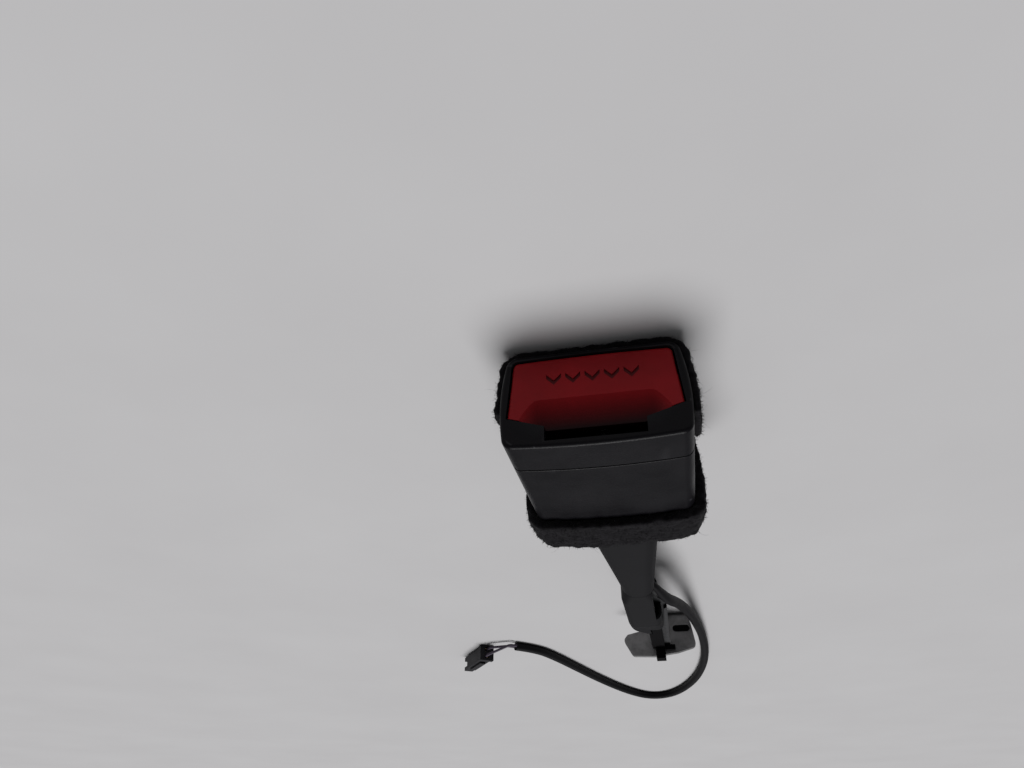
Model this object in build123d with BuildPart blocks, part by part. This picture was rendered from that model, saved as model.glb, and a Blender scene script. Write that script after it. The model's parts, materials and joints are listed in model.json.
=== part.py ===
from build123d import *
import math
import os

os.makedirs("parts", exist_ok=True)

# Seat belt buckle on a wire-rope stalk, lying on its back.
# Millimetres. +Z up, +Y from the buckle's end towards the anchor, Z = 0 on the resting surface.

# ---------------------------------------------------------------- driving dimensions
# head: lengths are measured from its end face, heights from its back face
head_w = 47.6            # widest, part way up the sides
head_w_back = 43.2       # across the back face
head_w_front = 46.0      # across the front face
head_t = 26.2            # back face to front corners
widest_h = 16.0          # height of the widest place
front_crown = 1.0        # rise of the front face in the middle
head_len = 62.0
head_taper = 0.7         # each side's loss over the length
head_wall = 1.6
corner_back = 3.5
corner_front = 3.0
foot_corner = 8.0        # corners of the lower end, seen from the front
end_round = 1.0
cap_len = 13.0           # end face to seam
cap_face_t = 2.4
cap_wall = 1.0
seam_gap = 0.35
seam_round = 0.3
spigot_len = 3.0
spigot_t = 0.9
parting_h = 12.0         # joint between the front and rear shells

# felt
felt_t = 2.7
band_side_t = 1.7
felt_glue = 0.05
band_from = 2.0
band_to = 16.0
band_top_h = 20.0        # on the -X side
band_low_top_h = 15.5    # on the +X side
collar_from = 46.5
collar_over = 0.6        # how far the collar passes the lower end

# button
button_w_back = 40.4
button_w_front = 43.6
button_back_h = 1.9
button_side_h = 17.9
button_front_h = 20.9
button_gap = 0.3
button_crown = 0.4
button_recess = 0.3
button_skirt = 4.7
button_wall = 1.5
button_travel = 4.5
leg_in = 9.6
leg_from = 3.0           # the legs start behind the scoop
leg_t = 1.8
leg_low_h = 8.2
leg_top_h = 17.4
leg_len = 31.4

# tongue slot
slot_w = 25.0
slot_top_h = 25.3

# steel frame
frame_t = 2.2
frame_w = 28.0
frame_from = 15.0
frame_to = 57.5
cheek_low_h = 8.0
cheek_to = 46.0
frame_top_h = 20.8

# latch
pivot_y = 40.5
pivot_h = 13.0
pivot_r = 2.0
latch_w = 8.0
latch_angle = 14.0       # degrees, from locked to open
nose_front = 22.6
nose_back = 27.4
nose_top_h = 24.4
cam_y = 29.0
cam_h = 14.2
cam_r = 1.25
cam_play = 0.15

# ejector
ejector_travel = 10.0
ejector_from = 25.5
ejector_web_from = 33.0
ejector_to = 38.0
ejector_w = 21.0
prong_gap_w = 10.0
ejector_low_h = 20.95
ejector_top_h = 24.6

# switch
switch_from = 34.0
switch_to = 52.0
switch_in = 14.8
switch_out = 20.4
switch_low_h = 6.0
switch_floor_h = 12.0
switch_rim_h = 16.6
switch_wall = 0.7

# rope and stalk
rope_d = 3.8
spool_r = 4.0
rivet_y = 52.0
rivet_shank_r = 2.6
strand_x = 2.15          # from the middle to each strand at the crimp
boot_from = 58.2
boot_flange = 1.6
boot_mid = 100.0
boot_to = 146.0
boot_w_head = 27.2
boot_w_mid = 19.8
boot_w_end = 12.4
boot_t_head = 14.6
boot_t_end = 12.4
boot_wall = 1.4
boot_mid_h = 14.3
boot_corner = 0.38       # corner radius over thickness
rope_to = 187.0
cable_d = 3.0
cable_h = 11.6

# crimp and anchor
ferrule_from = 161.0
ferrule_len = 24.0
ferrule_w = 9.2
ferrule_t = 6.4
strap_t = 2.4
ear_t = 1.7
cover_from = 146.2       # crimp cover, from the boot's end
cover_full = 154.0
cover_bend = 188.0
cover_to = 222.5
cover_wall = 1.0
bracket_y = 252.0        # front face of the foot plate
bracket_t = 3.0
foot_len = 31.0
bolt_hole_r = 6.0
bend_r = 1.0

# free cable and plug
sleeve_d = 4.6
wire_d = 1.4
plug_len = 34.0
plug_w = 6.6
plug_t = 8.8

# clearances
fit = 0.05               # radial, pins in their holes
slip = 0.2               # between sliding faces

overall_len = bracket_y + bracket_t + foot_len
end_y = -overall_len / 2
tongue_floor_h = button_front_h
cheek_in = frame_w / 2 - frame_t
frame_low_h = frame_top_h - frame_t
rope_h = frame_low_h - slip - rope_d / 2
loop_r = spool_r + rope_d / 2 + fit


# ---------------------------------------------------------------- helpers
def at_y(distance):
    """Row Y of a distance from the head's end face."""
    return end_y + distance


def at_z(height):
    """Row Z of a height above the head's back face."""
    return felt_t + height


def cross_plane(distance):
    """Plane across the buckle, local x along X and local y up."""
    return Plane(origin=(0, at_y(distance), 0), x_dir=(1, 0, 0), z_dir=(0, -1, 0))


def block(x, y, h, mode=Mode.ADD):
    """Box between pairs of X, distances from the end and heights above the back face."""
    with BuildSketch(Plane.XY.offset(at_z(h[0]))) as base:
        with Locations(((x[0] + x[1]) / 2, (at_y(y[0]) + at_y(y[1])) / 2)):
            Rectangle(abs(x[1] - x[0]), y[1] - y[0])
    extrude(base.sketch, amount=h[1] - h[0], mode=mode)


def rod(radius, start, end, mode=Mode.ADD):
    """Round bar between two points given as (X, distance, height)."""
    a = Vector(start[0], at_y(start[1]), at_z(start[2]))
    b = Vector(end[0], at_y(end[1]), at_z(end[2]))
    with BuildSketch(Plane(origin=a, z_dir=b - a)) as disc:
        Circle(radius)
    extrude(disc.sketch, amount=(b - a).length, mode=mode)


def side_plate(points, x0, x1, mode=Mode.ADD):
    """Plate between two X with an outline of (distance, height) points."""
    with BuildSketch(Plane(origin=(x0, 0, 0), x_dir=(0, 1, 0), z_dir=(1, 0, 0))) as outline:
        with BuildLine():
            Polyline([(at_y(p[0]), at_z(p[1])) for p in points], close=True)
        make_face()
    extrude(outline.sketch, amount=x1 - x0, mode=mode)


def plan_plate(points, low_h, high_h, mode=Mode.ADD):
    """Plate between two heights with an outline of (X, distance) points."""
    with BuildSketch(Plane.XY.offset(at_z(low_h))) as outline:
        with BuildLine():
            Polyline([(p[0], at_y(p[1])) for p in points], close=True)
        make_face()
    extrude(outline.sketch, amount=high_h - low_h, mode=mode)


def head_section(distance, grow, side_grow):
    """Outline of the head at a distance from its end, grown outwards by grow and by side_grow in X."""
    loss = head_taper * distance / head_len
    back = head_w_back / 2 - loss + side_grow
    wide = head_w / 2 - loss + side_grow
    front = head_w_front / 2 - loss + side_grow
    low = at_z(-grow)
    high = at_z(head_t + grow)
    with BuildSketch(cross_plane(distance)) as section:
        with BuildLine():
            Line((-back, low), (back, low))
            ThreePointArc((back, low), (wide, at_z(widest_h)), (front, high))
            ThreePointArc((front, high), (0, high + front_crown), (-front, high))
            ThreePointArc((-front, high), (-wide, at_z(widest_h)), (-back, low))
        make_face()
        corners = section.vertices().group_by(Axis.Y)
        fillet(corners[0], corner_back + grow)
        fillet(section.vertices().sort_by(lambda v: abs(v.Y - high))[:2], corner_front + grow)
    return section.sketch


def head_form(start, stop, grow, side_grow=None):
    """Solid of the head's outer shape between two distances, grown by grow."""
    if side_grow is None:
        side_grow = grow
    lower = min(stop, head_len + grow)
    side_end = head_w / 2 - head_taper * start / head_len + grow + slip
    side_foot = head_w / 2 - head_taper * lower / head_len + grow + slip
    with BuildPart() as form:
        loft([head_section(start, grow, side_grow), head_section(stop, grow, side_grow)])
        with BuildSketch(Plane.XY) as plan:
            with BuildLine():
                Polyline([(-side_end, at_y(start)), (side_end, at_y(start)),
                          (side_foot, at_y(lower)), (-side_foot, at_y(lower))], close=True)
            make_face()
            if stop > head_len - head_wall - seam_gap:
                fillet(plan.vertices().group_by(Axis.Y)[-1], foot_corner + grow)
        extrude(plan.sketch, amount=2 * head_w, both=True, mode=Mode.INTERSECT)
    return form.part


def button_outline(distance, grow):
    """Outline of the button, or of its window when grown by the gap."""
    low = at_z(button_back_h - grow)
    side = at_z(button_side_h + grow)
    top = at_z(button_front_h + grow)
    back = button_w_back / 2 + grow
    front = button_w_front / 2 + grow
    shoulder = slot_w / 2 - button_gap + grow
    with BuildSketch(cross_plane(distance)) as outline:
        with BuildLine():
            ThreePointArc((-back, low), (0, low - button_crown), (back, low))
            Polyline((back, low), (front, side), (shoulder, top), (-shoulder, top), (-front, side),
                     (-back, low))
        make_face()
        corners = outline.vertices().group_by(Axis.Y)
        fillet(corners[0], 1.6)
        fillet(corners[1], 1.6)
    return outline.sketch


def coil(radius, wire_r, turns, start, end):
    """Helical spring between two points given as (X, distance, height)."""
    a = Vector(start[0], at_y(start[1]), at_z(start[2]))
    b = Vector(end[0], at_y(end[1]), at_z(end[2]))
    along = (b - a).normalized()
    inset = along * wire_r
    rise = (b - a).length - 2 * wire_r
    with BuildLine() as path:
        Helix(pitch=rise / turns, height=rise, radius=radius, center=a + inset, direction=along)
    with BuildSketch(Plane(origin=path.line @ 0, z_dir=path.line % 0)) as wire:
        Circle(wire_r)
    sweep(wire.sketch, path=path.line, is_frenet=True)


def write(name, part):
    """Label a finished piece and write its file."""
    part.label = name
    export_step(part, "parts/" + name + ".step")


# ---------------------------------------------------------------- cap and housing
with BuildPart() as top_cap:
    add(head_form(0, cap_len, 0))
    fillet(top_cap.edges().group_by(Axis.Y)[0], end_round)
    fillet(top_cap.edges().group_by(Axis.Y)[-1], seam_round)
    add(head_form(cap_len, cap_len + spigot_len, -head_wall - fit))
    add(head_form(cap_face_t, cap_len - spigot_len, -cap_wall), mode=Mode.SUBTRACT)
    add(head_form(cap_len - spigot_len, cap_len + spigot_len, -head_wall - spigot_t), mode=Mode.SUBTRACT)
    extrude(button_outline(0, button_gap), amount=-2 * cap_face_t, mode=Mode.SUBTRACT)
    block((-slot_w / 2, slot_w / 2), (-1, cap_len + spigot_len), (button_front_h - 1, slot_top_h),
          mode=Mode.SUBTRACT)
write("top_cap", top_cap.part)

shell_from = cap_len + seam_gap
boss_x = 18.0
boss_y = 30.5
boss_r = 2.5
screw_r = 1.1
screw_head_r = 2.1
screw_head_t = 1.4
seat_x = 17.0
seat_from = 24.4
seat_t = 2.2
seat_top_h = 15.0
spring_h = 11.6
spring_from = 5.3        # the springs stay behind the button's face over its whole travel
spring_post_r = 2.4
latch_spring_y = 26.0
latch_seat_h = 4.6


def boot_section(distance, width, thickness, grow):
    """Rounded outline of the boot at a distance from the head's end."""
    with BuildSketch(cross_plane(distance)) as section:
        with Locations((0, at_z(boot_mid_h))):
            RectangleRounded(width + 2 * grow, thickness + 2 * grow, (thickness + 2 * grow) * boot_corner)
    return section.sketch


def boot_width(distance):
    """Width of the boot at a distance, between its named stations."""
    if distance < boot_mid:
        part = (distance - boot_from) / (boot_mid - boot_from)
        return boot_w_head + (boot_w_mid - boot_w_head) * part
    part = (distance - boot_mid) / (boot_to - boot_mid)
    return boot_w_mid + (boot_w_end - boot_w_mid) * part


def boot_depth(distance):
    """Thickness of the boot at a distance."""
    part = (distance - boot_from) / (boot_to - boot_from)
    return boot_t_head + (boot_t_end - boot_t_head) * part


def boot_form(grow, start=boot_from, stop=boot_to):
    """Tapered solid of the boot, grown by grow."""
    stations = [start, boot_mid, stop]
    with BuildPart() as form:
        loft([boot_section(d, boot_width(d), boot_depth(d), grow) for d in stations])
    return form.part


def housing():
    """Empty housing below the seam, with the opening for the boot."""
    with BuildPart() as shell:
        add(head_form(shell_from, head_len, 0))
        fillet(shell.edges().group_by(Axis.Y)[0], seam_round)
        add(head_form(shell_from - 1, head_len - head_wall, -head_wall), mode=Mode.SUBTRACT)
        opening = boot_section(head_len + 1, boot_width(boot_from), boot_depth(boot_from), slip)
        extrude(opening, amount=head_wall + 4, mode=Mode.SUBTRACT)
    return shell.part


with BuildPart() as front_shell:
    add(housing())
    for side in (-1, 1):
        rib_to = 50.0 if side > 0 else 33.5
        rod(boss_r, (side * boss_x, boss_y, parting_h), (side * boss_x, boss_y, head_t - 0.4))
        inner = side * (slot_w / 2 + slip)
        block((inner, inner + side * 1.5), (16.5, rib_to), (frame_top_h + slip, head_t - 0.2))
    block((-head_w, head_w), (-1, head_len + 9), (-9, parting_h + fit / 2), mode=Mode.SUBTRACT)
    for side in (-1, 1):
        rod(screw_r + fit, (side * boss_x, boss_y, 0), (side * boss_x, boss_y, head_t - 4),
            mode=Mode.SUBTRACT)
write("front_shell", front_shell.part)

with BuildPart() as rear_shell:
    add(housing())
    for side in (-1, 1):
        rod(boss_r, (side * boss_x, boss_y, 0.4), (side * boss_x, boss_y, parting_h))
        block((side * (seat_x - 2.6), side * (seat_x + 2.6)), (seat_from, seat_from + seat_t),
              (head_wall - 0.4, seat_top_h - 3.2))
    rod(1.4, (0, latch_spring_y, head_wall - 0.4), (0, latch_spring_y, latch_seat_h + 2))
    rod(3.4, (0, latch_spring_y, head_wall - 0.4), (0, latch_spring_y, latch_seat_h))
    block((-head_w, head_w), (-1, head_len + 9), (parting_h - fit / 2, 2 * head_t), mode=Mode.SUBTRACT)
    for side in (-1, 1):
        rod(screw_r + fit, (side * boss_x, boss_y, -1), (side * boss_x, boss_y, parting_h + 1),
            mode=Mode.SUBTRACT)
        rod(screw_head_r + fit, (side * boss_x, boss_y, -1), (side * boss_x, boss_y, screw_head_t + fit),
            mode=Mode.SUBTRACT)
write("rear_shell", rear_shell.part)

with BuildPart() as cover_screws:
    for side in (-1, 1):
        rod(screw_r, (side * boss_x, boss_y, screw_head_t), (side * boss_x, boss_y, head_t - 5))
        rod(screw_head_r, (side * boss_x, boss_y, 0.2), (side * boss_x, boss_y, screw_head_t))
        block((side * boss_x - 1.5, side * boss_x + 1.5), (boss_y - 0.3, boss_y + 0.3), (0, 0.8),
              mode=Mode.SUBTRACT)
        block((side * boss_x - 0.3, side * boss_x + 0.3), (boss_y - 1.5, boss_y + 1.5), (0, 0.8),
              mode=Mode.SUBTRACT)
write("cover_screws", cover_screws.part)

# ---------------------------------------------------------------- felt
with BuildPart() as felt_band:
    add(head_form(band_from, band_to, felt_t, band_side_t))
    add(head_form(band_from - 1, band_to + 1, felt_glue), mode=Mode.SUBTRACT)
    block((-head_w, 0), (0, band_to + 1), (band_top_h, 2 * head_t), mode=Mode.SUBTRACT)
    block((0, head_w), (0, band_to + 1), (band_low_top_h, 2 * head_t), mode=Mode.SUBTRACT)
write("felt_band", felt_band.part)

with BuildPart() as felt_collar:
    add(head_form(collar_from, head_len + collar_over, felt_t))
    add(head_form(collar_from - 1, head_len + felt_glue, felt_glue), mode=Mode.SUBTRACT)
    opening = boot_section(head_len + 4, boot_width(boot_from), boot_depth(boot_from), 2 * slip)
    extrude(opening, amount=8, mode=Mode.SUBTRACT)
write("felt_collar", felt_collar.part)

# ---------------------------------------------------------------- button
scoop_r = 18.5
scoop_half_w = 20.0
scoop_end_w = 5.0        # width over which each end of the scoop runs out
scoop_end_rise = 3.0
scoop_axis_y = -15.0
scoop_axis_h = 24.0
hollow_top_h = 14.4      # the button is solid behind the scoop
mark_count = 5
mark_pitch = 4.9
mark_h = 7.6
mark_w = 3.8
mark_t = 1.3
mark_depth = 0.4

# path of the cam pin seen from the button, over the whole stroke
swing = math.radians(latch_angle)
rel_y = cam_y - pivot_y
rel_h = cam_h - pivot_h
cam_dy = rel_y * math.cos(swing) - rel_h * math.sin(swing) - rel_y - button_travel
cam_dh = rel_y * math.sin(swing) + rel_h * math.cos(swing) - rel_h
slot_r = cam_r + cam_play

with BuildPart() as hollow:
    extrude(button_outline(button_recess + button_wall + 1.6, -button_wall), amount=-button_skirt)
    block((-head_w, head_w), (0, leg_len), (hollow_top_h, head_t), mode=Mode.SUBTRACT)

with BuildPart() as release_button:
    extrude(button_outline(button_recess, 0), amount=-button_skirt)
    face = release_button.faces().sort_by(Axis.Y)[0]
    fillet(face.edges().filter_by(lambda e: e.center().Z < at_z(button_side_h)), 0.8)
    with BuildSketch(Plane(origin=(0, at_y(scoop_axis_y), at_z(scoop_axis_h)), x_dir=(1, 0, 0),
                           z_dir=(0, 0, 1))) as barrel:
        with BuildLine():
            Polyline([(-scoop_half_w, 0), (-scoop_half_w, scoop_r - scoop_end_rise),
                      (scoop_end_w - scoop_half_w, scoop_r), (scoop_half_w - scoop_end_w, scoop_r),
                      (scoop_half_w, scoop_r - scoop_end_rise), (scoop_half_w, 0)], close=True)
        make_face()
        fillet(barrel.vertices().group_by(Axis.Y)[-1], scoop_end_w)
    scoop_axis = Axis((0, at_y(scoop_axis_y), at_z(scoop_axis_h)), (1, 0, 0))
    revolve(barrel.sketch, axis=scoop_axis, mode=Mode.SUBTRACT)
    add(hollow.part, mode=Mode.SUBTRACT)
    for side in (-1, 1):
        rod(spring_post_r, (side * seat_x, button_recess + 2 * button_wall, spring_h),
            (side * seat_x, spring_from - 0.1, spring_h))
        inner = side * leg_in
        block((inner, inner + side * leg_t), (leg_from, leg_len), (leg_low_h, leg_top_h))
        with BuildSketch(Plane(origin=(inner - side, at_y(cam_y + cam_dy / 2), at_z(cam_h + cam_dh / 2)),
                               x_dir=(0, 1, 0), z_dir=(1, 0, 0))) as cam_slot:
            SlotOverall(math.hypot(cam_dy, cam_dh) + 2 * slot_r, 2 * slot_r,
                        rotation=math.degrees(math.atan2(cam_dh, cam_dy)))
        extrude(cam_slot.sketch, amount=side * (leg_t + 2), mode=Mode.SUBTRACT)
    for n in range(mark_count):
        x = (n - (mark_count - 1) / 2) * mark_pitch
        tip = mark_h + mark_w / 2
        points = [(x - mark_w / 2, tip - mark_w / 2), (x, tip), (x + mark_w / 2, tip - mark_w / 2),
                  (x + mark_w / 2, tip - mark_w / 2 - mark_t), (x, tip - mark_t),
                  (x - mark_w / 2, tip - mark_w / 2 - mark_t)]
        with BuildSketch(cross_plane(button_recess)) as chevron:
            with BuildLine():
                Polyline([(p[0], at_z(p[1])) for p in points], close=True)
            make_face()
        extrude(chevron.sketch, amount=-mark_depth, mode=Mode.SUBTRACT)
write("release_button", release_button.part)

with BuildPart() as button_springs:
    for side in (-1, 1):
        coil(2.0, 0.3, 8, (side * seat_x, spring_from, spring_h), (side * seat_x, seat_from - 0.1, spring_h))
write("button_springs", button_springs.part)

# ---------------------------------------------------------------- frame and latch
window_w = latch_w + 0.8
window_from = 21.0
window_to = nose_back + 0.5
stop_from = 55.6
stop_w = 11.0

with BuildPart() as buckle_frame:
    block((-frame_w / 2, frame_w / 2), (frame_from, frame_to), (frame_low_h, frame_top_h))
    block((-stop_w / 2, stop_w / 2), (stop_from, frame_to), (frame_top_h, ejector_top_h))
    for side in (-1, 1):
        block((side * cheek_in, side * frame_w / 2), (frame_from, cheek_to), (cheek_low_h, frame_low_h))
    block((-window_w / 2, window_w / 2), (window_from, window_to), (0, head_t), mode=Mode.SUBTRACT)
    rod(pivot_r + fit, (-head_w, pivot_y, pivot_h), (head_w, pivot_y, pivot_h), mode=Mode.SUBTRACT)
    rod(rivet_shank_r + fit, (0, rivet_y, 0), (0, rivet_y, head_t), mode=Mode.SUBTRACT)
    fillet(buckle_frame.edges().filter_by(Axis.X).group_by(Axis.Z)[0], 1.5)
write("buckle_frame", buckle_frame.part)

hub_r = pivot_r + 1.8
with BuildPart() as latch:
    side_plate([(nose_front, frame_low_h - 0.5), (nose_front, nose_top_h - 4.0),
                (nose_back - 2.2, nose_top_h), (nose_back, nose_top_h), (nose_back, frame_low_h - 0.5),
                (pivot_y, pivot_h + hub_r), (pivot_y, pivot_h - hub_r), (cam_y + 2, cam_h - 2.6),
                (cam_y - 3, cam_h - 2.6), (nose_front, frame_low_h - 4)], -latch_w / 2, latch_w / 2)
    rod(hub_r, (-latch_w / 2, pivot_y, pivot_h), (latch_w / 2, pivot_y, pivot_h))
    rod(pivot_r + fit, (-latch_w, pivot_y, pivot_h), (latch_w, pivot_y, pivot_h), mode=Mode.SUBTRACT)
    rod(cam_r, (-latch_w, cam_y, cam_h), (latch_w, cam_y, cam_h), mode=Mode.SUBTRACT)
write("latch", latch.part)

with BuildPart() as latch_pivot_pin:
    rod(pivot_r, (-frame_w / 2, pivot_y, pivot_h), (frame_w / 2, pivot_y, pivot_h))
    for side in (-1, 1):
        rod(pivot_r + 0.9, (side * frame_w / 2, pivot_y, pivot_h),
            (side * (frame_w / 2 + 0.6), pivot_y, pivot_h))
write("latch_pivot_pin", latch_pivot_pin.part)

cam_half = leg_in + leg_t + 0.15
with BuildPart() as cam_pin:
    rod(cam_r, (-cam_half, cam_y, cam_h), (cam_half, cam_y, cam_h))
write("cam_pin", cam_pin.part)

with BuildPart() as latch_spring:
    coil(2.0, 0.3, 4, (0, latch_spring_y, latch_seat_h + 0.05),
         (0, latch_spring_y, cam_h - 2.65))
write("latch_spring", latch_spring.part)

# ---------------------------------------------------------------- ejector
arm_from = 35.5
arm_to = 38.0
finger_out = 18.6
finger_in = 16.6
finger_low_h = 17.6
guide_r = 0.8
ejector_mid_h = (ejector_low_h + ejector_top_h) / 2

with BuildPart() as ejector:
    block((-ejector_w / 2, ejector_w / 2), (ejector_from, ejector_to), (ejector_low_h, ejector_top_h))
    block((-prong_gap_w / 2, prong_gap_w / 2), (ejector_from - 1, ejector_web_from), (0, head_t),
          mode=Mode.SUBTRACT)
    block((-finger_out, 0), (arm_from, arm_to), (ejector_low_h + 0.2, ejector_top_h - 0.3))
    block((-finger_out, -finger_in), (arm_from, arm_to), (finger_low_h, ejector_top_h - 0.3))
    rod(guide_r, (0, ejector_to - 0.2, ejector_mid_h), (0, ejector_to + 5, ejector_mid_h))
write("ejector", ejector.part)

with BuildPart() as ejector_spring:
    coil(1.3, 0.25, 9, (0, ejector_to + 0.05, ejector_mid_h), (0, stop_from - 0.05, ejector_mid_h))
write("ejector_spring", ejector_spring.part)

# ---------------------------------------------------------------- switch
slider_from = arm_from - slip - 1.3
slider_to = slider_from + 6.0
slider_low_h = switch_floor_h + 1.1
fork_top_h = ejector_low_h - slip
blade_t = 0.4
blade_w = 1.0
channel_in = switch_in + switch_wall
channel_out = switch_out - switch_wall
blade_xs = (-(channel_in + 0.4 + blade_w / 2), -(channel_out - 0.4 - blade_w / 2))

with BuildPart() as switch_housing:
    block((-switch_out, -switch_in), (switch_from, switch_to), (switch_low_h, switch_rim_h))
    block((-channel_out, -channel_in), (switch_from - 1, switch_to - 1), (switch_floor_h, head_t),
          mode=Mode.SUBTRACT)
    fillet(switch_housing.edges().filter_by(Axis.Y).group_by(Axis.Z)[0], 1.0)
write("switch_housing", switch_housing.part)

with BuildPart() as switch_slider:
    block((-channel_out + slip, -channel_in - slip), (slider_from, slider_to),
          (slider_low_h, switch_rim_h))
    block((-channel_out + slip, -channel_in - slip), (slider_from, arm_to + slip + 1.3),
          (switch_rim_h - 1, fork_top_h))
    block((-switch_out, -switch_in), (arm_from - slip, arm_to + slip), (finger_low_h - slip, head_t),
          mode=Mode.SUBTRACT)
write("switch_slider", switch_slider.part)

with BuildPart() as contact_bridge:
    block((blade_xs[1] - blade_w / 2, blade_xs[0] + blade_w / 2), (slider_from + 1, slider_from + 4),
          (switch_floor_h + blade_t + fit, slider_low_h))
write("contact_bridge", contact_bridge.part)

with BuildPart() as switch_contacts:
    for x in blade_xs:
        block((x - blade_w / 2, x + blade_w / 2), (switch_from + 1, switch_to - 1.2),
              (switch_floor_h, switch_floor_h + blade_t))
write("switch_contacts", switch_contacts.part)

# ---------------------------------------------------------------- rope, rivet and boot
crimp_bend_y = boot_to + 2
span = crimp_bend_y - rivet_y
lean = (loop_r - strand_x) / span
spool_low_h = frame_low_h - rope_d - 2 * slip
flange_r = loop_r
flange_t = 1.2
rivet_head_r = 3.5
rivet_head_t = 0.3

with BuildPart() as rope_rivet:
    rod(rivet_shank_r, (0, rivet_y, spool_low_h), (0, rivet_y, frame_top_h + rivet_head_t))
    rod(rivet_head_r, (0, rivet_y, frame_top_h), (0, rivet_y, frame_top_h + rivet_head_t))
    rod(spool_r, (0, rivet_y, spool_low_h), (0, rivet_y, frame_low_h))
    rod(flange_r, (0, rivet_y, spool_low_h - flange_t), (0, rivet_y, spool_low_h))
write("rope_rivet", rope_rivet.part)

nose_y = rivet_y - loop_r
corner_x = strand_x + lean * (crimp_bend_y - nose_y)
rope_points = [(strand_x, rope_to), (strand_x, crimp_bend_y), (corner_x, nose_y), (-corner_x, nose_y),
               (-strand_x, crimp_bend_y), (-strand_x, rope_to)]
loop_bend_r = corner_x / math.tan(math.pi / 4 + math.atan(lean) / 2) - 0.02

with BuildPart() as wire_rope:
    with BuildLine() as rope_path:
        FilletPolyline([(p[0], at_y(p[1]), at_z(rope_h)) for p in rope_points],
                       radius=[60, loop_bend_r, loop_bend_r, 60])
    with BuildSketch(Plane(origin=rope_path.line @ 0, z_dir=rope_path.line % 0)) as strand:
        Circle(rope_d / 2)
    sweep(strand.sketch, path=rope_path.line)
write("wire_rope", wire_rope.part)

with BuildPart() as stalk_boot:
    add(boot_form(0))
    flange = boot_section(boot_from, boot_w_head, boot_t_head, boot_flange)
    extrude(flange, amount=-(head_len - head_wall - slip - boot_from))
    add(boot_form(-boot_wall), mode=Mode.SUBTRACT)
write("stalk_boot", stalk_boot.part)

# ---------------------------------------------------------------- switch cable in the head and stalk
cable_gate_y = 49.5
cable_gate_h = 9.5
cable_exit_x = -1.2
sleeve_start = Vector(-7.0, at_y(154.5), 17.5)
sleeve_second = Vector(-11.0, at_y(171.0), 17.5)
sleeve_heading = (sleeve_second - sleeve_start).normalized()
cable_points = [(-switch_in, at_y(cable_gate_y), at_z(cable_gate_h)),
                (-10.0, at_y(cable_gate_y), at_z(cable_gate_h)),
                (-9.4, at_y(head_len), at_z(cable_h - 0.4)),
                (-4.5, at_y(95.0), at_z(cable_h)),
                (cable_exit_x, at_y(135.0), at_z(cable_h)),
                (cable_exit_x, at_y(144.3), at_z(cable_h)),
                sleeve_start - sleeve_heading * 5,
                sleeve_start - sleeve_heading * fit]

with BuildPart() as switch_cable:
    with BuildLine() as cable_path:
        FilletPolyline(cable_points, radius=[4.0, 60, 120, 60, 9.0, 15.0])
    with BuildSketch(Plane(origin=cable_path.line @ 0, z_dir=cable_path.line % 0)) as jacket:
        Circle(cable_d / 2)
    sweep(jacket.sketch, path=cable_path.line)
write("switch_cable", switch_cable.part)

# ---------------------------------------------------------------- crimp
ferrule_low_h = rope_h - ferrule_t / 2
ear_in = ferrule_w / 2 + fit
ear_out = ear_in + ear_t
ear_top_h = rope_h + ferrule_t / 2 - 1.6
strap_low_h = ferrule_low_h - strap_t
strap_end_x = 0.8
strap_from = 163.2
strap_wide_from = 179.0
strap_side_x = 9.8       # the strap's free edge where it is widest
strap_tail_x = 8.6       # the same edge at the foot plate
rim_w = 1.5              # raised rim along that edge
rim_top_h = 15.0

with BuildPart() as rope_ferrule:
    with BuildSketch(cross_plane(ferrule_from)) as oval:
        with Locations((0, at_z(rope_h))):
            RectangleRounded(ferrule_w, ferrule_t, ferrule_t * 0.4)
        with Locations((strand_x, at_z(rope_h)), (-strand_x, at_z(rope_h))):
            Circle(rope_d / 2 + fit / 2, mode=Mode.SUBTRACT)
    extrude(oval.sketch, amount=-ferrule_len)
write("rope_ferrule", rope_ferrule.part)

strap_outline = [(-ear_in, strap_from), (ear_out, strap_from), (ear_out, 203), (strap_end_x, 224),
                 (strap_end_x, bracket_y + bracket_t + 0.8), (-strap_tail_x, bracket_y + bracket_t + 0.8),
                 (-strap_tail_x, bracket_y - 1), (-strap_side_x, strap_wide_from + 2),
                 (-strap_side_x, strap_wide_from), (-ear_out, strap_wide_from - 7)]
rim_outline = [(-strap_side_x, strap_wide_from + 2), (-strap_side_x + rim_w, strap_wide_from + 4),
               (-strap_tail_x + rim_w, bracket_y - 12), (-strap_tail_x, bracket_y - 12)]

with BuildPart() as anchor_strap:
    plan_plate(strap_outline, strap_low_h, ferrule_low_h)
    block((ear_in, ear_out), (strap_from, ferrule_from + ferrule_len + 1), (strap_low_h, ear_top_h))
    plan_plate(rim_outline, strap_low_h, rim_top_h)
    lower_edges = anchor_strap.edges().filter_by(Axis.Y).group_by(Axis.Z)[0]
    fillet(lower_edges, 0.8)
write("anchor_strap", anchor_strap.part)


cover_in_x = -7.3        # crimp cover's sides
cover_out_x = 7.5
cover_low_h = 9.6
cover_top_h = 21.0
cover_tail_top_h = 15.2
cover_corner = 3.2
tail_half_w = 0.9
tail_from = 205.0
cable_notch_h = 17.3
side_cut_x = -4.9        # the cover is cut away beyond this, past the cable
side_cut_h = 11.6
side_cut_to = 178.0
window_from_y = 159.0
window_to_y = 169.0
cover_plan = [(cover_in_x - 2, cover_from - 3), (cover_out_x + 1, cover_from - 3),
              (cover_out_x + 1, cover_bend + 4.5), (tail_half_w, cover_to), (-tail_half_w, cover_to),
              (-tail_half_w, tail_from), (cover_in_x - 2, tail_from)]


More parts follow.
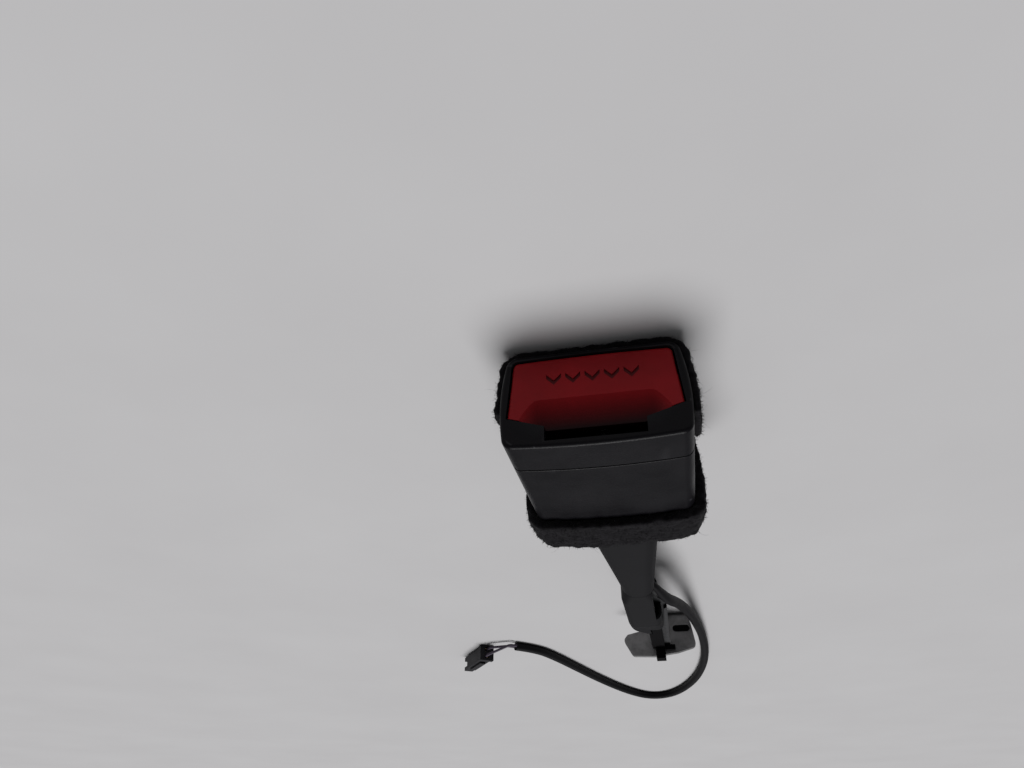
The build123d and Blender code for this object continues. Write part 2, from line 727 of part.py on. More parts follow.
def cover_section(distance, x, h, corner, inset):
    """Rounded outline of the crimp cover at a distance, drawn in by inset on every side."""
    with BuildSketch(cross_plane(distance)) as section:
        with Locations(((x[0] + x[1]) / 2, at_z((h[0] + h[1]) / 2))):
            RectangleRounded(x[1] - x[0] - 2 * inset, h[1] - h[0] - 2 * inset, corner - inset)
    return section.sketch


def cover_form(inset):
    """Solid of the crimp cover's shape, drawn in by inset, open towards the boot."""
    boot_half_w = boot_w_end / 2
    boot_half_t = boot_t_end / 2
    sides = (cover_in_x, cover_out_x)
    stations = [cover_section(cover_from - inset / 2, (-boot_half_w, boot_half_w),
                              (boot_mid_h - boot_half_t, boot_mid_h + boot_half_t),
                              boot_t_end * boot_corner, inset),
                cover_section(cover_full, sides, (cover_low_h, cover_top_h), cover_corner, inset),
                cover_section(cover_bend, sides, (cover_low_h, cover_top_h), cover_corner, inset),
                cover_section(cover_to - inset, sides, (cover_low_h, cover_tail_top_h),
                              cover_corner - 0.8, inset)]
    with BuildPart() as form:
        loft(stations, ruled=True)
        with BuildSketch(Plane.XY) as plan:
            with BuildLine():
                Polyline([(p[0], at_y(p[1])) for p in cover_plan], close=True)
            make_face()
            if inset > 0:
                offset(amount=-inset, kind=Kind.INTERSECTION)
        extrude(plan.sketch, amount=2 * head_w, both=True, mode=Mode.INTERSECT)
    return form.part


with BuildPart() as crimp_cover:
    add(cover_form(0))
    add(cover_form(cover_wall), mode=Mode.SUBTRACT)
    block((-head_w, head_w), (strap_from - 0.3, cover_to + 1), (0, ferrule_low_h + slip), mode=Mode.SUBTRACT)
    block((-head_w, side_cut_x), (cover_from + 0.4, side_cut_to), (side_cut_h, head_t), mode=Mode.SUBTRACT)
    block((-head_w, 0), (cover_from + 0.4, strap_from), (side_cut_h, cable_notch_h), mode=Mode.SUBTRACT)
    block((0, head_w), (window_from_y, window_to_y), (ferrule_low_h + 2 * slip, cable_notch_h),
          mode=Mode.SUBTRACT)
write("crimp_cover", crimp_cover.part)

# ---------------------------------------------------------------- anchor bracket and clip
foot_x = (-18.0, 4.6)
bolt_x = -6.7
bolt_y = bracket_y + bracket_t + 15.5
wing_slot = (-14.6, 5.6, 8.4, 3.0)
plate_outline = [(foot_x[0], -felt_t), (-19.8, 4.0), (-21.4, 14.8), (-12.0, 17.4), (0, 18.8),
                 (10.6, 18.2), (14.9, 10.2), (12.6, 7.6), (6.2, 6.2), (foot_x[1], -felt_t)]

with BuildPart() as anchor_bracket:
    with BuildSketch(cross_plane(bracket_y)) as plate:
        with BuildLine():
            Polyline([(p[0], at_z(p[1])) for p in plate_outline], close=True)
        make_face()
    extrude(plate.sketch, amount=-bracket_t)
    upright = anchor_bracket.edges().filter_by(Axis.Y)
    fillet([e for e in upright if e.center().Z > at_z(9) and (e.center().X > 9 or e.center().X < -19)], 2.4)
    with BuildSketch(Plane.XY) as foot:
        with Locations(((foot_x[0] + foot_x[1]) / 2, at_y(bracket_y + (bracket_t + foot_len) / 2))):
            Rectangle(foot_x[1] - foot_x[0], bracket_t + foot_len)
        fillet(foot.vertices().group_by(Axis.Y)[-1], 7.0)
    extrude(foot.sketch, amount=bracket_t)
    behind_plate = at_y(bracket_y + bracket_t)
    inner_bend = [e for e in anchor_bracket.edges().filter_by(Axis.X)
                  if abs(e.center().Z - bracket_t) < fit and abs(e.center().Y - behind_plate) < fit]
    fillet(inner_bend, bend_r)
    outer_bend = [e for e in anchor_bracket.edges().filter_by(Axis.X)
                  if e.center().Z < fit and e.center().Y < at_y(bracket_y) + fit]
    fillet(outer_bend, bend_r + 1)
    rod(bolt_hole_r, (bolt_x, bolt_y, -felt_t - 1), (bolt_x, bolt_y, bracket_t), mode=Mode.SUBTRACT)
    block((-strap_tail_x - fit, strap_end_x + fit), (bracket_y - 1, bracket_y + bracket_t + 1),
          (strap_low_h - fit, ferrule_low_h + fit), mode=Mode.SUBTRACT)
    with BuildSketch(cross_plane(bracket_y)) as relief:
        with Locations((wing_slot[0], at_z(wing_slot[1]))):
            SlotOverall(wing_slot[2], wing_slot[3])
    extrude(relief.sketch, amount=-bracket_t, mode=Mode.SUBTRACT)
write("anchor_bracket", anchor_bracket.part)

with BuildPart() as slot_plug:
    with BuildSketch(cross_plane(bracket_y - 0.8)) as bung:
        with Locations((wing_slot[0], at_z(wing_slot[1]))):
            SlotOverall(wing_slot[2] - 2 * fit, wing_slot[3] - 2 * fit)
    extrude(bung.sketch, amount=-(bracket_t + 1.6))
write("slot_plug", slot_plug.part)

clip_x = (-5.8, -1.2)
clip_wide_x = 0.3        # the clip's edge beyond the cover's tail
clip_wide_from = cover_to + 1.5
clip_from = 206.0
clip_t = 1.7
clip_back_y = bracket_y - slip
clip_front_y = clip_back_y - 2.0
clip_top_h = 18.9

with BuildPart() as wiring_clip:
    block(clip_x, (clip_from, clip_back_y), (ferrule_low_h, ferrule_low_h + clip_t))
    block((clip_x[0], clip_wide_x), (clip_wide_from, clip_back_y), (ferrule_low_h, ferrule_low_h + clip_t))
    block(clip_x, (clip_front_y, clip_back_y), (ferrule_low_h, clip_top_h))
    block(clip_x, (clip_front_y, bracket_y + bracket_t + slip + 1.2), (clip_top_h, clip_top_h + 1.6))
    block(clip_x, (bracket_y + bracket_t + slip, bracket_y + bracket_t + slip + 1.2),
          (clip_top_h - 4, clip_top_h))
    block((-10.9, clip_x[0]), (clip_front_y, clip_back_y), (ferrule_low_h + 0.6, ferrule_low_h + 3.0))
    fillet(wiring_clip.edges().filter_by(Axis.X).group_by(Axis.Z)[-1], 0.5)
write("wiring_clip", wiring_clip.part)

# ---------------------------------------------------------------- free cable: sleeve, wires and plug
floor_z = sleeve_d / 2 + 0.1
sleeve_route = [(-17.0, 195.0, 13.0), (-20.5, 224.0, 9.0), (-24.0, 256.0, 5.5),
                (-26.0, 290.5, floor_z), (-27.5, 327.5, floor_z), (-25.5, 365.0, floor_z),
                (-21.5, 397.0, floor_z), (-14.5, 423.0, floor_z), (-8.5, 446.0, floor_z),
                (5.5, 457.5, floor_z), (23.0, 451.0, floor_z), (27.5, 430.5, floor_z),
                (37.5, 408.0, floor_z), (46.0, 382.0, floor_z), (54.0, 353.0, floor_z),
                (62.5, 324.5, floor_z), (68.5, 305.0, floor_z), (80.5, 296.0, floor_z)]

sleeve_points = [sleeve_start, sleeve_second]
sleeve_points += [Vector(p[0], at_y(p[1]), p[2]) for p in sleeve_route]
sleeve_radii = []
for before, point, after in zip(sleeve_points, sleeve_points[1:], sleeve_points[2:]):
    turn = math.radians((point - before).get_angle(after - point))
    shorter = min((point - before).length, (after - point).length)
    sleeve_radii.append(0.45 * shorter / math.tan(turn / 2))
print("sleeve radii", [round(r, 1) for r in sleeve_radii])

with BuildPart() as cable_sleeve:
    with BuildLine() as sleeve_path:
        FilletPolyline(sleeve_points, radius=sleeve_radii)
    with BuildSketch(Plane(origin=sleeve_path.line @ 0, z_dir=sleeve_path.line % 0)) as tube:
        Circle(sleeve_d / 2)
    sweep(tube.sketch, path=sleeve_path.line)
sleeve_length = sum(edge.length for edge in sleeve_path.edges())
sleeve_volume = math.pi * (sleeve_d / 2) ** 2 * sleeve_length
print("sleeve length", round(sleeve_length, 1), "volume ratio", cable_sleeve.part.volume / sleeve_volume)
write("cable_sleeve", cable_sleeve.part)

# the plug stands on its narrow side; its own x runs from the wires to the mating end
plug_start = (98.3, 299.0)
plug_heading = 57.0      # degrees from +X
flange_len = 3.0
fork_len = 7.0
fork_gap = 3.4
port_w = 2.2
port_pitch = 4.0
plug_plane = Plane(origin=(plug_start[0], at_y(plug_start[1]), 0),
                   x_dir=(math.cos(math.radians(plug_heading)), math.sin(math.radians(plug_heading)), 0),
                   z_dir=(0, 0, 1))


def plug_block(x, y, z, mode=Mode.ADD):
    """Box in the plug's own axes."""
    with BuildSketch(plug_plane.offset(z[0])) as base:
        with Locations(((x[0] + x[1]) / 2, (y[0] + y[1]) / 2)):
            Rectangle(x[1] - x[0], y[1] - y[0])
    extrude(base.sketch, amount=z[1] - z[0], mode=mode)


port_zs = (plug_t / 2 - port_pitch / 2, plug_t / 2 + port_pitch / 2)
with BuildPart() as connector_housing:
    plug_block((0, plug_len - fork_len), (-plug_w / 2, plug_w / 2), (0.6, plug_t - 0.6))
    plug_block((0, flange_len), (-plug_w / 2 - 0.8, plug_w / 2 + 0.8), (0, plug_t))
    plug_block((plug_len - fork_len, plug_len), (-plug_w / 2 + 0.8, plug_w / 2 - 0.8), (0.6, plug_t - 0.6))
    plug_block((plug_len - fork_len, plug_len + 1), (-plug_w, plug_w),
               (plug_t / 2 - fork_gap / 2, plug_t / 2 + fork_gap / 2), mode=Mode.SUBTRACT)
    plug_block((flange_len + 4, plug_len - fork_len - 1.5), (-1.6, 1.6), (plug_t - 0.6, plug_t + 0.5))
    for z in port_zs:
        plug_block((-1, plug_len + 1), (-port_w / 2, port_w / 2), (z - port_w / 2, z + port_w / 2),
                   mode=Mode.SUBTRACT)
write("connector_housing", connector_housing.part)

terminal_from = 2.0
terminal_to = 22.0
with BuildPart() as connector_terminals:
    for z in port_zs:
        plug_block((terminal_from, terminal_to), (-port_w / 2 + slip, port_w / 2 - slip),
                   (z - port_w / 2 + slip, z + port_w / 2 - slip))
        plug_block((terminal_from + 5, terminal_to + 1), (-0.5, 0.5), (z - 0.4, z + 0.4), mode=Mode.SUBTRACT)
write("connector_terminals", connector_terminals.part)

sleeve_tip = sleeve_points[-1]
sleeve_dir = (sleeve_points[-1] - sleeve_points[-2]).normalized()
for number, z in enumerate(port_zs, start=1):
    side = 1 if number == 1 else -1
    across = Vector(-sleeve_dir.Y, sleeve_dir.X, 0) * side * wire_d
    entry = plug_plane.from_local_coords(Vector(terminal_from - fit, side * 0.3, z))
    outside = plug_plane.from_local_coords(Vector(-4.0, side * 0.6, z))
    with BuildPart() as tail_wire:
        with BuildLine() as wire_path:
            FilletPolyline([sleeve_tip + across, sleeve_tip + across + sleeve_dir * 4.5, outside, entry],
                           radius=[3.0, 3.0])
        with BuildSketch(Plane(origin=wire_path.line @ 0, z_dir=wire_path.line % 0)) as conductor:
            Circle(wire_d / 2)
        sweep(conductor.sketch, path=wire_path.line)
    write("tail_wire_" + str(number), tail_wire.part)
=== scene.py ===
import json
import math
import random

import bmesh
import bpy
from mathutils import Matrix, Vector, noise


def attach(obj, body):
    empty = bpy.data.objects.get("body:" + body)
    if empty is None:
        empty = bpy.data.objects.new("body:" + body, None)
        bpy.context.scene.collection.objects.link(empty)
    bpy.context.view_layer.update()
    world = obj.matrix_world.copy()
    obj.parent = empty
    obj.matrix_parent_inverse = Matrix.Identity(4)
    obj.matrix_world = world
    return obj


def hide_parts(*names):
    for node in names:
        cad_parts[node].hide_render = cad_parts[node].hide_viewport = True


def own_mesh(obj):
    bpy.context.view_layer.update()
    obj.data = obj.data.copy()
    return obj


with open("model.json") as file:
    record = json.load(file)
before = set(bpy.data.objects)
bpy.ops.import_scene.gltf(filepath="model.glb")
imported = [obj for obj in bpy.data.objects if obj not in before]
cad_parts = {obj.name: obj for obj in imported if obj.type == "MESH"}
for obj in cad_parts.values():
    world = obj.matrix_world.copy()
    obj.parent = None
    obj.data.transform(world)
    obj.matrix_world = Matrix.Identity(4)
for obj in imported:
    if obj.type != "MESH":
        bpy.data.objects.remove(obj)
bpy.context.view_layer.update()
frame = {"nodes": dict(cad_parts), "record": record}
nodes = frame["nodes"]
ROOT = "body"

scene = bpy.context.scene
scene.view_settings.view_transform = "Standard"

# ---------------------------------------------------------------- camera
# The place and the axes of the camera, fitted to the photograph's perspective.
CAMERA_AT = Vector((-0.0155, -0.3123, 0.1185))
CAMERA_RIGHT = Vector((-0.9786, 0.2057, -0.0037))
CAMERA_UP = Vector((-0.1056, -0.5176, -0.8491))
CAMERA_BACK = Vector((-0.1765, -0.8305, 0.5283))
SENSOR_MM = 36.0
LENS_MM = 28.125
CLIP_START = 0.01


def make_camera():
    """Camera in the place that the photograph was taken from."""
    data = bpy.data.cameras.new("camera")
    data.sensor_width = SENSOR_MM
    data.lens = LENS_MM
    data.clip_start = CLIP_START
    place = Matrix((CAMERA_RIGHT, CAMERA_UP, CAMERA_BACK)).transposed().to_4x4()
    place.translation = CAMERA_AT
    camera = bpy.data.objects.new("camera", data)
    camera.matrix_world = place
    scene.collection.objects.link(camera)
    scene.camera = camera


make_camera()


# ---------------------------------------------------------------- materials
# Sizes and bump depths are in metres. Most of a noise's values lie from NOISE_LOW to NOISE_HIGH.
NOISE_LOW = 0.3
NOISE_HIGH = 0.7
# The Mix node's sockets in its colour mode.
MIX_FACTOR = 0
MIX_COLOURS = (6, 7)
MIX_RESULT = 2


def new_material(name):
    """A node material, with its tree, its Principled shader and its object coordinates."""
    mat = bpy.data.materials.new(name)
    mat.use_nodes = True
    tree = mat.node_tree
    shader = tree.nodes["Principled BSDF"]
    coords = tree.nodes.new("ShaderNodeTexCoord").outputs["Object"]
    return mat, tree, shader, coords


def noise_node(tree, coords, size, detail=4.0, rough=0.6, stretch=None):
    """Noise whose features are about size metres across."""
    if stretch is not None:
        mapping = tree.nodes.new("ShaderNodeMapping")
        mapping.inputs["Scale"].default_value = stretch
        tree.links.new(coords, mapping.inputs["Vector"])
        coords = mapping.outputs["Vector"]
    node = tree.nodes.new("ShaderNodeTexNoise")
    node.inputs["Scale"].default_value = 1.0 / size
    node.inputs["Detail"].default_value = detail
    node.inputs["Roughness"].default_value = rough
    tree.links.new(coords, node.inputs["Vector"])
    return node.outputs["Fac"]


def ramp(tree, fac, stops):
    """Colour ramp over (position, colour) stops."""
    node = tree.nodes.new("ShaderNodeValToRGB")
    elements = node.color_ramp.elements
    while len(elements) < len(stops):
        elements.new(0.5)
    for element, (position, colour) in zip(elements, stops):
        element.position = position
        element.color = (*colour, 1.0)
    tree.links.new(fac, node.inputs["Fac"])
    return node.outputs["Color"]


def span(tree, fac, low, high, out_low, out_high):
    """Map a value from one range to another."""
    node = tree.nodes.new("ShaderNodeMapRange")
    node.inputs["From Min"].default_value = low
    node.inputs["From Max"].default_value = high
    node.inputs["To Min"].default_value = out_low
    node.inputs["To Max"].default_value = out_high
    tree.links.new(fac, node.inputs["Value"])
    return node.outputs["Result"]


def bump(tree, shader, heights):
    """Chain of bumps from (height output, distance in metres) pairs."""
    normal = None
    for height, distance in heights:
        node = tree.nodes.new("ShaderNodeBump")
        node.inputs["Strength"].default_value = 1.0
        node.inputs["Distance"].default_value = distance
        tree.links.new(height, node.inputs["Height"])
        if normal is not None:
            tree.links.new(normal, node.inputs["Normal"])
        normal = node.outputs["Normal"]
    tree.links.new(normal, shader.inputs["Normal"])


def mix(tree, fac, a, b):
    """Mix of two colours, each an output or a fixed colour."""
    node = tree.nodes.new("ShaderNodeMix")
    node.data_type = "RGBA"
    tree.links.new(fac, node.inputs[MIX_FACTOR])
    for value, index in zip((a, b), MIX_COLOURS):
        if isinstance(value, tuple):
            node.inputs[index].default_value = (*value, 1.0)
        else:
            tree.links.new(value, node.inputs[index])
    return node.outputs[MIX_RESULT]


def product(tree, a, b):
    """Two values multiplied."""
    node = tree.nodes.new("ShaderNodeMath")
    node.operation = "MULTIPLY"
    tree.links.new(a, node.inputs[0])
    tree.links.new(b, node.inputs[1])
    return node.outputs[0]


def scaled(colour, factor):
    """A colour made darker or lighter."""
    return tuple(c * factor for c in colour)


PLASTIC_PATCH = 0.012
PLASTIC_DARKEST = 0.86
PLASTIC_LIGHTEST = 1.12
PLASTIC_SMOOTHER = 0.05
PLASTIC_ROUGHER = 0.07
# Pointiness range and amount for lightening convex edges: partly wear, partly a painted highlight.
WORN_HIGHLIT_FROM = 0.53
WORN_HIGHLIT_TO = 0.60
WORN_HIGHLIT_AMOUNT = 0.55
SCRATCH_SIZE = 0.0012
SCRATCH_STRETCH = (0.12, 1.0, 1.6)


def plastic(name, colour, rough, specular=0.5, grain=0.00035, depth=0.00004, wear_and_highlight=None,
            scratch=0.0):
    """Moulded plastic: fine grain and uneven sheen, with scratches if asked for, and convex edges
    lightened if asked for, partly wear and partly painted highlight.
    """
    mat, tree, shader, coords = new_material(name)
    broad = noise_node(tree, coords, PLASTIC_PATCH, detail=5.0)
    fine = noise_node(tree, coords, grain, detail=2.0, rough=0.5)
    body = ramp(tree, broad, [(NOISE_LOW, scaled(colour, PLASTIC_DARKEST)),
                              (NOISE_HIGH, scaled(colour, PLASTIC_LIGHTEST))])
    if wear_and_highlight is not None:
        # Painted highlight and wear: convex edges are lightened towards the given edge colour.
        edges = tree.nodes.new("ShaderNodeNewGeometry").outputs["Pointiness"]
        worn_and_highlit = span(tree, edges, WORN_HIGHLIT_FROM, WORN_HIGHLIT_TO, 0.0, WORN_HIGHLIT_AMOUNT)
        body = mix(tree, worn_and_highlit, body, wear_and_highlight)
    tree.links.new(body, shader.inputs["Base Color"])
    sheen = span(tree, broad, NOISE_LOW, NOISE_HIGH, rough - PLASTIC_SMOOTHER,
                 rough + PLASTIC_ROUGHER)
    tree.links.new(sheen, shader.inputs["Roughness"])
    shader.inputs["Specular IOR Level"].default_value = specular
    heights = [(fine, depth)]
    if scratch:
        lines = noise_node(tree, coords, SCRATCH_SIZE, detail=3.0, stretch=SCRATCH_STRETCH)
        heights.append((lines, scratch))
    bump(tree, shader, heights)
    return mat


METAL_BLOTCH = 0.004
METAL_DULL = 0.25
METAL_LIGHTEST = 1.1
METAL_ROUGHER = 0.12
METAL_SMOOTHER = 0.06
METAL_GRAIN = 0.0004
METAL_GRAIN_DEPTH = 0.00003
METAL_BLOTCH_DEPTH = 0.00006


def metal(name, colour, rough, brush=None):
    """Plated or bare steel with blotches, and fine pitting that brush draws out into lines."""
    mat, tree, shader, coords = new_material(name)
    blotch = noise_node(tree, coords, METAL_BLOTCH, detail=6.0, rough=0.65)
    fine = noise_node(tree, coords, METAL_GRAIN, detail=3.0, stretch=brush)
    body = ramp(tree, blotch, [(NOISE_LOW, scaled(colour, 1.0 - METAL_DULL)), (0.55, colour),
                               (0.75, scaled(colour, METAL_LIGHTEST))])
    tree.links.new(body, shader.inputs["Base Color"])
    sheen = span(tree, blotch, NOISE_LOW, NOISE_HIGH, rough + METAL_ROUGHER,
                 rough - METAL_SMOOTHER)
    tree.links.new(sheen, shader.inputs["Roughness"])
    shader.inputs["Metallic"].default_value = 1.0
    bump(tree, shader, [(fine, METAL_GRAIN_DEPTH), (blotch, METAL_BLOTCH_DEPTH)])
    return mat


FELT_TUFT = 0.0016
FELT_TUFT_DEPTH = 0.0005
FELT_THREAD = 0.0003
FELT_THREAD_DEPTH = 0.0002
FELT_DARK = (0.0038, 0.0033, 0.0042)
FELT_MIDDLE = (0.0088, 0.0078, 0.0098)
FELT_LIGHT = (0.019, 0.0175, 0.021)


def felt_material():
    """Black needled felt, seen as matted fibre."""
    mat, tree, shader, coords = new_material("felt")
    tuft = noise_node(tree, coords, FELT_TUFT, detail=6.0, rough=0.7)
    thread = noise_node(tree, coords, FELT_THREAD, detail=3.0, rough=0.7)
    body = ramp(tree, tuft, [(NOISE_LOW, FELT_DARK), (0.6, FELT_MIDDLE), (0.8, FELT_LIGHT)])
    tree.links.new(body, shader.inputs["Base Color"])
    shader.inputs["Roughness"].default_value = 1.0
    shader.inputs["Specular IOR Level"].default_value = 0.1
    shader.inputs["Sheen Weight"].default_value = 0.06
    shader.inputs["Sheen Roughness"].default_value = 0.5
    bump(tree, shader, [(tuft, FELT_TUFT_DEPTH), (thread, FELT_THREAD_DEPTH)])
    return mat


# The marks' dark colour and the scoop's painted shade each start and end at a depth behind that
# face.
# Each shade starts and ends at a depth behind that face.
MARK_FACE_Y = -0.1427
MARK_LOW_Z = 0.0085
MARK_HIGH_Z = 0.0127
MARK_EDGE = 0.0001
MARK_SHADE_FROM = 0.00012
MARK_SHADE_TO = 0.0003
SCOOP_SHADE_FROM = 0.0003
SCOOP_SHADE_TO = 0.0029
BUTTON_RED = (0.29, 0.0075, 0.0115)
MARK_RED = (0.095, 0.006, 0.008)
# Painted shade, deepest in the scoop.
SCOOP_SHADE_RED = (0.012, 0.001, 0.002)


def button_material():
    """Red satin plastic with dark sunk marks, and painted shade in the scoop that darkens with its
    depth.
    """
    mat = plastic("button_plastic", BUTTON_RED, rough=0.42, specular=0.12, grain=0.0006,
                  depth=0.00002, scratch=0.00003)
    tree = mat.node_tree
    shader = tree.nodes["Principled BSDF"]
    axes = tree.nodes.new("ShaderNodeSeparateXYZ")
    tree.links.new(tree.nodes.new("ShaderNodeTexCoord").outputs["Object"], axes.inputs["Vector"])
    depth, height = axes.outputs["Y"], axes.outputs["Z"]
    sunk = span(tree, depth, MARK_FACE_Y + MARK_SHADE_FROM, MARK_FACE_Y + MARK_SHADE_TO, 0.0, 1.0)
    above = span(tree, height, MARK_LOW_Z - MARK_EDGE, MARK_LOW_Z, 0.0, 1.0)
    below = span(tree, height, MARK_HIGH_Z, MARK_HIGH_Z + MARK_EDGE, 1.0, 0.0)
    mask = product(tree, product(tree, sunk, above), below)
    body = shader.inputs["Base Color"].links[0].from_socket
    marked = mix(tree, mask, body, MARK_RED)
    # Painted shade: the scoop's red darkens the deeper it lies behind the face.
    scoop_shade = span(tree, depth, MARK_FACE_Y + SCOOP_SHADE_FROM, MARK_FACE_Y + SCOOP_SHADE_TO,
                0.0, 1.0)
    tree.links.new(mix(tree, scoop_shade, marked, SCOOP_SHADE_RED), shader.inputs["Base Color"])
    return mat


BLACK = (0.0050, 0.0045, 0.0060)
# Lighter colour on the head's convex edges: partly wear, partly a painted highlight along the
# rounded lip.
EDGE_WEAR_AND_HIGHLIGHT = (0.045, 0.045, 0.05)
MATERIALS = {
    "head_plastic": plastic("head_plastic", BLACK, rough=0.37, specular=0.095,
                            wear_and_highlight=EDGE_WEAR_AND_HIGHLIGHT, scratch=0.00002),
    "button_plastic": button_material(),
    "boot_plastic": plastic("boot_plastic", (0.0115, 0.0112, 0.0125), rough=0.62, specular=0.05,
                            grain=0.0005),
    "clip_plastic": plastic("clip_plastic", (0.0034, 0.0031, 0.0036), rough=0.62, specular=0.025),
    "ejector_plastic": plastic("ejector_plastic", (0.55, 0.53, 0.48), rough=0.4),
    "switch_plastic": plastic("switch_plastic", (0.02, 0.02, 0.022), rough=0.45),
    "cable_jacket": plastic("cable_jacket", (0.0078, 0.0074, 0.0086), rough=0.55, specular=0.06,
                            grain=0.0009, depth=0.00005),
    "wire_jacket": plastic("wire_jacket", (0.075, 0.062, 0.085), rough=0.5, specular=0.12),
    "steel": metal("steel", (0.33, 0.33, 0.34), rough=0.32, brush=(1.0, 0.1, 1.0)),
    "spring_steel": metal("spring_steel", (0.45, 0.45, 0.46), rough=0.28),
    "rope_steel": metal("rope_steel", (0.34, 0.34, 0.35), rough=0.38),
    "zinc": metal("zinc", (0.23, 0.227, 0.23), rough=0.42),
    # A darker copy of zinc for the anchor strap: painted shade.
    "shaded_strap_zinc": metal("shaded_strap_zinc", (0.042, 0.042, 0.044), rough=0.5),
    "connector_plastic": plastic("connector_plastic", (0.017, 0.016, 0.019), rough=0.5,
                                 specular=0.12),
    "contact_metal": metal("contact_metal", (0.6, 0.45, 0.24), rough=0.3),
    "felt": felt_material(),
}
# Nodes with another material than their slot's: the connector's own plastic, and the strap's
# painted-shade zinc.
OWN_OR_SHADED_MATERIAL = {"anchor_strap": "shaded_strap_zinc", "connector_housing": "connector_plastic"}


def dress_nodes():
    """Each CAD node gets its slot's material; the connector housing gets its own plastic, and the
    anchor strap a darker copy of zinc, painted shade.
    """
    slot_of = {row["node"]: row["material_slot"] for row in frame["record"]["subparts"]}
    for name, obj in nodes.items():
        obj.data.materials.clear()
        obj.data.materials.append(MATERIALS[OWN_OR_SHADED_MATERIAL.get(name, slot_of[name])])


dress_nodes()


# ---------------------------------------------------------------- free cable
# The control points of its line, placed to follow the photograph.
CABLE_ROUTE = [
    (-0.0070, 0.0115, 0.0175), (-0.0100, 0.0260, 0.0175), (-0.0145, 0.0505, 0.0122),
    (-0.0190, 0.0805, 0.0078), (-0.0225, 0.1120, 0.0046), (-0.0258, 0.1475, 0.0024),
    (-0.0272, 0.1845, 0.0024), (-0.0258, 0.2200, 0.0024), (-0.0215, 0.2540, 0.0024),
    (-0.0145, 0.2830, 0.0024), (-0.0055, 0.3045, 0.0024), (0.0040, 0.3140, 0.0024),
    (0.0140, 0.3130, 0.0024), (0.0235, 0.3000, 0.0024), (0.0335, 0.2765, 0.0024),
    (0.0440, 0.2450, 0.0024), (0.0535, 0.2120, 0.0024), (0.0620, 0.1820, 0.0024),
    (0.0700, 0.1615, 0.0024), (0.0805, 0.1530, 0.0024)]
CABLE_D = 0.0046
CABLE_STEPS = 16
CABLE_ROUNDING = 6
SLEEVE_NECK = 0.66  # share of its thickness that the sleeve has where it enters the crimp


def cable():
    """The sleeved switch cable from the crimp to its two wires."""
    curve = bpy.data.curves.new("cable_sleeve_curve", "CURVE")
    curve.dimensions = "3D"
    spline = curve.splines.new("NURBS")
    spline.points.add(len(CABLE_ROUTE) - 1)
    for point, co in zip(spline.points, CABLE_ROUTE):
        point.co = (*co, 1.0)
    spline.points[0].radius = SLEEVE_NECK
    spline.order_u = 3
    spline.use_endpoint_u = True
    spline.resolution_u = CABLE_STEPS
    curve.bevel_depth = CABLE_D / 2
    curve.bevel_resolution = CABLE_ROUNDING
    curve.use_fill_caps = True
    obj = bpy.data.objects.new("free_cable", curve)
    scene.collection.objects.link(obj)
    obj.data.materials.append(MATERIALS["cable_jacket"])
    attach(obj, ROOT)
    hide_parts("cable_sleeve")


cable()


# ---------------------------------------------------------------- springs
def add_mesh(name, mesh, material, replaced=()):
    """Finished mesh as a piece on the fixed body."""
    obj = bpy.data.objects.new(name, mesh)
    scene.collection.objects.link(obj)
    obj.data.materials.clear()
    obj.data.materials.append(material)
    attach(obj, ROOT)
    if replaced:
        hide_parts(*replaced)
    return obj


def squashed_spring(row):
    """Copy of one coil spring, which takes the place of its CAD node."""
    letter = row["mode"][-1]
    index = "xyz".index(letter)
    axis, anchor = Vector(), Vector()
    axis[index] = 1.0
    anchor[index] = row["fixed_end_" + letter + "_m"]
    mesh = nodes[row["node"]].data.copy()
    coils = add_mesh(row["node"] + "_coils", mesh, MATERIALS["spring_steel"],
                     [row["node"]])
    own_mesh(coils)


for joint in frame["record"]["behaviour"]["joints"]:
    for row in joint.get("deforming_nodes", ()):
        squashed_spring(row)


# ---------------------------------------------------------------- felt
FELT_VOXEL = 0.00055
RELAX_ROUNDS = 4
RELAX_FACTOR = 0.5
# Lumps, knots and tufts: how many to the metre, and how high in metres.
LUMP_RATE = 260
LUMP_HEIGHT = 0.0005
KNOT_RATE = 700
KNOT_HEIGHT = 0.00035
TUFT_RATE = 1900
TUFT_HEIGHT = 0.00022
FLOOR_CLEAR = 0.00005


def remeshed(node, voxel):
    """Even mesh of a CAD node's shape."""
    copy = bpy.data.objects.new(node + "_source", nodes[node].data.copy())
    scene.collection.objects.link(copy)
    modifier = copy.modifiers.new("remesh", "REMESH")
    modifier.mode = "VOXEL"
    modifier.voxel_size = voxel
    bpy.context.view_layer.update()
    evaluated = copy.evaluated_get(bpy.context.evaluated_depsgraph_get())
    mesh = bpy.data.meshes.new_from_object(evaluated)
    bpy.data.objects.remove(copy)
    return mesh


def relax(mesh, rounds):
    """Round the corners by averaging each point with its neighbours."""
    bm = bmesh.new()
    bm.from_mesh(mesh)
    for _ in range(rounds):
        bmesh.ops.smooth_vert(bm, verts=bm.verts, factor=RELAX_FACTOR, use_axis_x=True,
                              use_axis_y=True, use_axis_z=True)
    bm.to_mesh(mesh)
    bm.free()


